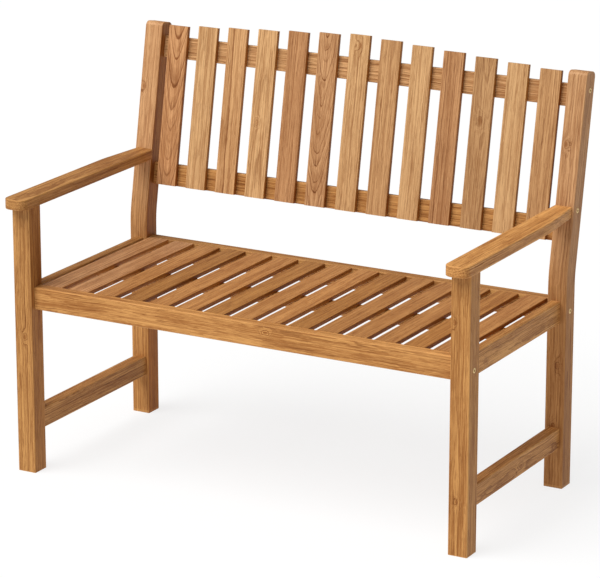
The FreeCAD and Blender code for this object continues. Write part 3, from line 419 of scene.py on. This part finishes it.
BACK_SLATS = [
    {"tone": "russet", "value": 1.13, "pith": (2, 12), "taper": -0.17, "ring": 9.0, "wander": 10,
     "line": 1.4},
    {"tone": "honey", "value": 1.04, "pith": (70, 30), "ring": 6.0, "line": 0.4},
    {"tone": "tan", "value": 1.09, "pith": (-30, 60), "ring": 7.0, "line": 0.8},
    {"tone": "honey", "value": 1.07, "pith": (6, 16), "taper": 0.045, "ring": 9.0, "line": 0.4,
     "knots": [("v", -8, -20, 6)]},
    {"tone": "russet", "pith": (80, 40), "ring": 3.5, "line": 0.6},
    {"tone": "rosy", "value": 1.04, "pith": (-3, 10), "taper": -0.13, "ring": 5.0, "wander": 16,
     "line": 1.25},
    {"tone": "honey", "value": 1.03, "pith": (55, 20), "ring": 5.5, "line": 0.5,
     "knots": [("v", 2, 175, 10)]},
    {"tone": "tan", "value": 0.96, "pith": (-70, 30), "ring": 4.5, "line": 0.5},
    {"tone": "honey", "pith": (60, 50), "ring": 6.0, "line": 0.4},
    {"tone": "russet", "value": 0.95, "pith": (70, 50), "ring": 3.5, "line": 0.7},
    {"tone": "tan", "value": 0.84, "pith": (5, 18), "taper": -0.05, "ring": 6.0, "line": 0.45,
     "knots": [("v", 0, 50, 11)]},
    {"tone": "honey", "value": 0.98, "pith": (60, 40), "ring": 5.0, "line": 0.4},
    {"tone": "tan", "value": 0.95, "pith": (50, 50), "ring": 4.5, "line": 0.5},
]

for index, looks in enumerate(BACK_SLATS, start=1):
    seed = index * BACK_SEED_STEP
    finish_board(f"back_slat_{index:02d}", RAKED, seed, BACK_SLAT_HALF, edge=1.0, **looks)

# The seat slats that are paler or deeper than the others.
ODD_SEAT_SLATS = {1: "russet", 2: "russet", 4: "chestnut", 7: "chestnut", 10: "chestnut", 14: "chestnut"}

for index in range(1, 16):
    looks = plain_looks(ODD_SEAT_SLATS.get(index, "umber"), SEAT_VALUE, rng)
    seed = FIRST_SEAT_SEED + index * SEAT_SEED_STEP
    finish_board(f"seat_slat_{index:02d}", BACKWARD, seed, edge=1.0, **looks)

RAILS = {
    "seat_front_rail": {"tone": "amber", "value": 1.18, "pith": (-8, 60), "ring": 7.0, "wander": 16,
                        "line": 1.0, "knots": [("v", -9, 71, 6)]},
    "seat_rear_rail": plain_looks("amber", 1.0, rng),
    "seat_middle_bearer": plain_looks("amber", 0.95, rng),
}
BACK_RAILS = {
    "back_top_rail": {"tone": "tan", "value": 1.07, "pith": (40, 40), "ring": 5.0, "line": 0.9},
    "back_bottom_rail": {"tone": "amber", "value": 1.05, "pith": (-50, 30), "ring": 5.5, "line": 0.9},
}
LENGTHWISE = {
    "armrest_left": {"tone": "amber", "value": 0.97, "pith": (10, -110), "ring": 4.0, "line": 0.5},
    "armrest_right": {"tone": "amber", "value": 1.22, "pith": (-15, -95), "ring": 4.0, "line": 0.6},
    "seat_side_rail_left": plain_looks("amber", 1.0, rng),
    "seat_side_rail_right": {"tone": "amber", "value": 1.15, "pith": (60, 10), "ring": 4.5, "line": 0.8,
                             "knots": [("u", 8, -150, 6)]},
    "side_stretcher_left": {"tone": "amber", "value": 0.95, "pith": (50, -20), "ring": 5.0, "line": 0.9},
    "side_stretcher_right": {"tone": "amber", "value": 1.15, "pith": (-40, 8), "ring": 5.0, "wander": 14,
                             "line": 0.9, "knots": [("u", 3, 20, 9)]},
}
LEGS = {
    "front_leg_left": {"tone": "amber", "pith": (-40, 55), "ring": 5.5, "wander": 12, "line": 0.8,
                       "edge": 0.45, "knots": [("v", 2, 10, 7)]},
    "front_leg_right": {"tone": "amber", "value": 1.07, "pith": (60, 50), "ring": 5.0, "wander": 9,
                        "line": 0.7, "knots": [("v", -12, 203, 7), ("v", -4, -187, 8)]},
}
POSTS = {
    "rear_post_left": {"tone": "rosy", "value": 1.12, "pith": (50, 60), "ring": 5.0, "line": 0.6,
                       "foot": "amber", "edge": 1.0, "knots": [("v", -13, 317, 8)]},
    # The right post's umber foot, deeper than its top, is painted shade for the shade under the seat.
    "rear_post_right": {"tone": "rosy", "pith": (-60, 40), "ring": 5.0, "wander": 12, "line": 0.7,
                        "foot": "umber", "edge": 0.25,
                        "knots": [("v", -12, 307, 9), ("v", 2, -180, 10), ("v", -5, -320, 8)]},
}
for turn, half, boards in (
    (SIDEWAYS, None, RAILS),
    (SIDEWAYS_RAKED, BACK_RAIL_HALF, BACK_RAILS),
    (BACKWARD, None, LENGTHWISE),
    (UPRIGHT, None, LEGS),
):
    for node, looks in boards.items():
        finish_board(node, turn, rng.uniform(*FRAME_SEEDS), half, contrast=FRAME_CONTRAST, **looks)
for node, looks in POSTS.items():
    finish_board(node, UPRIGHT, rng.uniform(*FRAME_SEEDS), POST_HALF, bend=True, **looks)


BEECH_PALE = (0.62, 0.42, 0.24, 1)
BEECH_DEEP = (0.48, 0.30, 0.16, 1)
ZINC_BRIGHT = (0.78, 0.56, 0.25, 1)
ZINC_DULL = (0.52, 0.35, 0.14, 1)


def dowel_material():
    """Pale beech for the glued dowels, flecked, with no particular grain direction."""
    material, shader, g = new_material("beech")
    coordinates = g.put("ShaderNodeTexCoord").outputs["Object"]
    fleck = g.noise(coordinates, 900.0, 3.0)
    color = g.tint("MIX", fleck, BEECH_PALE, BEECH_DEEP)
    g.feed(shader.inputs["Base Color"], color)
    g.feed(shader.inputs["Roughness"], g.math("MULTIPLY_ADD", fleck, 0.2, 0.5))
    return material


def zinc_material():
    """Yellow zinc plating: golden with faint darker blotches and fine turning marks."""
    material, shader, g = new_material("yellow_zinc")
    coordinates = g.put("ShaderNodeTexCoord").outputs["Object"]
    blotch = g.noise(coordinates, 260.0, 3.0)
    scratch = g.noise(coordinates, 2600.0, 1.0)
    color = g.tint("MIX", blotch, ZINC_BRIGHT, ZINC_DULL)
    g.feed(shader.inputs["Base Color"], color)
    g.feed(shader.inputs["Roughness"], g.math("MULTIPLY_ADD", blotch, 0.25, 0.2))
    bump = g.put("ShaderNodeBump", {"Height": scratch, "Strength": 0.2, "Distance": 0.00005})
    g.feed(shader.inputs["Normal"], bump.outputs[0])
    shader.inputs["Metallic"].default_value = 1.0
    return material


BEECH = dowel_material()
ZINC = zinc_material()
for name, node in nodes.items():
    if name.endswith("_dowels"):
        shared = BEECH
    elif name.endswith(("_bolts", "_nuts", "_screws")):
        shared = ZINC
    else:
        continue
    for slot in node.material_slots:
        slot.material = shared


# Floor, light and camera -----------------------------------------------------------------------

def add_floor():
    """A wide white floor that glows a little, so that the shadow on it stays faint."""
    bpy.ops.mesh.primitive_circle_add(vertices=64, radius=FLOOR_RADIUS, fill_type="NGON")
    floor = bpy.context.object
    floor.name = "floor"
    material, shader, _ = new_material("pale_floor")
    shader.inputs["Base Color"].default_value = FLOOR_GRAY
    shader.inputs["Roughness"].default_value = FLOOR_ROUGHNESS
    shader.inputs["Specular IOR Level"].default_value = 0.0
    shader.inputs["Emission Color"].default_value = WHITE
    shader.inputs["Emission Strength"].default_value = FLOOR_GLOW
    floor.data.materials.append(material)


def add_sun():
    """The key light: wide and soft, from the front left and above."""
    data = bpy.data.lights.new("key", "SUN")
    data.energy = SUN_STRENGTH
    data.angle = math.radians(SUN_SPREAD)
    light = bpy.data.objects.new("key", data)
    light.rotation_euler = Vector(TO_SUN).to_track_quat("Z", "Y").to_euler()
    scene.collection.objects.link(light)


def add_camera():
    leg_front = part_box("front_leg_left")[0].y
    aim = Vector((AIM_ACROSS, leg_front + AIM_BEHIND_LEGS, AIM_HEIGHT))
    back = Vector((math.sin(VIEW_AZIMUTH) * math.cos(VIEW_ELEVATION),
                   -math.cos(VIEW_AZIMUTH) * math.cos(VIEW_ELEVATION),
                   math.sin(VIEW_ELEVATION)))
    data = bpy.data.cameras.new("camera")
    data.lens = VIEW_LENS
    data.sensor_width = SENSOR_WIDTH
    data.clip_end = FAR_CLIP
    camera = bpy.data.objects.new("camera", data)
    camera.location = aim + VIEW_DISTANCE * back
    camera.rotation_euler = (math.pi / 2 - VIEW_ELEVATION, 0.0, VIEW_AZIMUTH)
    scene.collection.objects.link(camera)
    scene.camera = camera


def add_world():
    world = bpy.data.worlds.new("studio")
    world.use_nodes = True
    background = world.node_tree.nodes["Background"]
    background.inputs["Color"].default_value = WHITE
    background.inputs["Strength"].default_value = SKY_STRENGTH
    scene.world = world


add_floor()
add_sun()
add_camera()
add_world()
scene.view_settings.view_transform = "Standard"
scene.view_settings.look = "None"
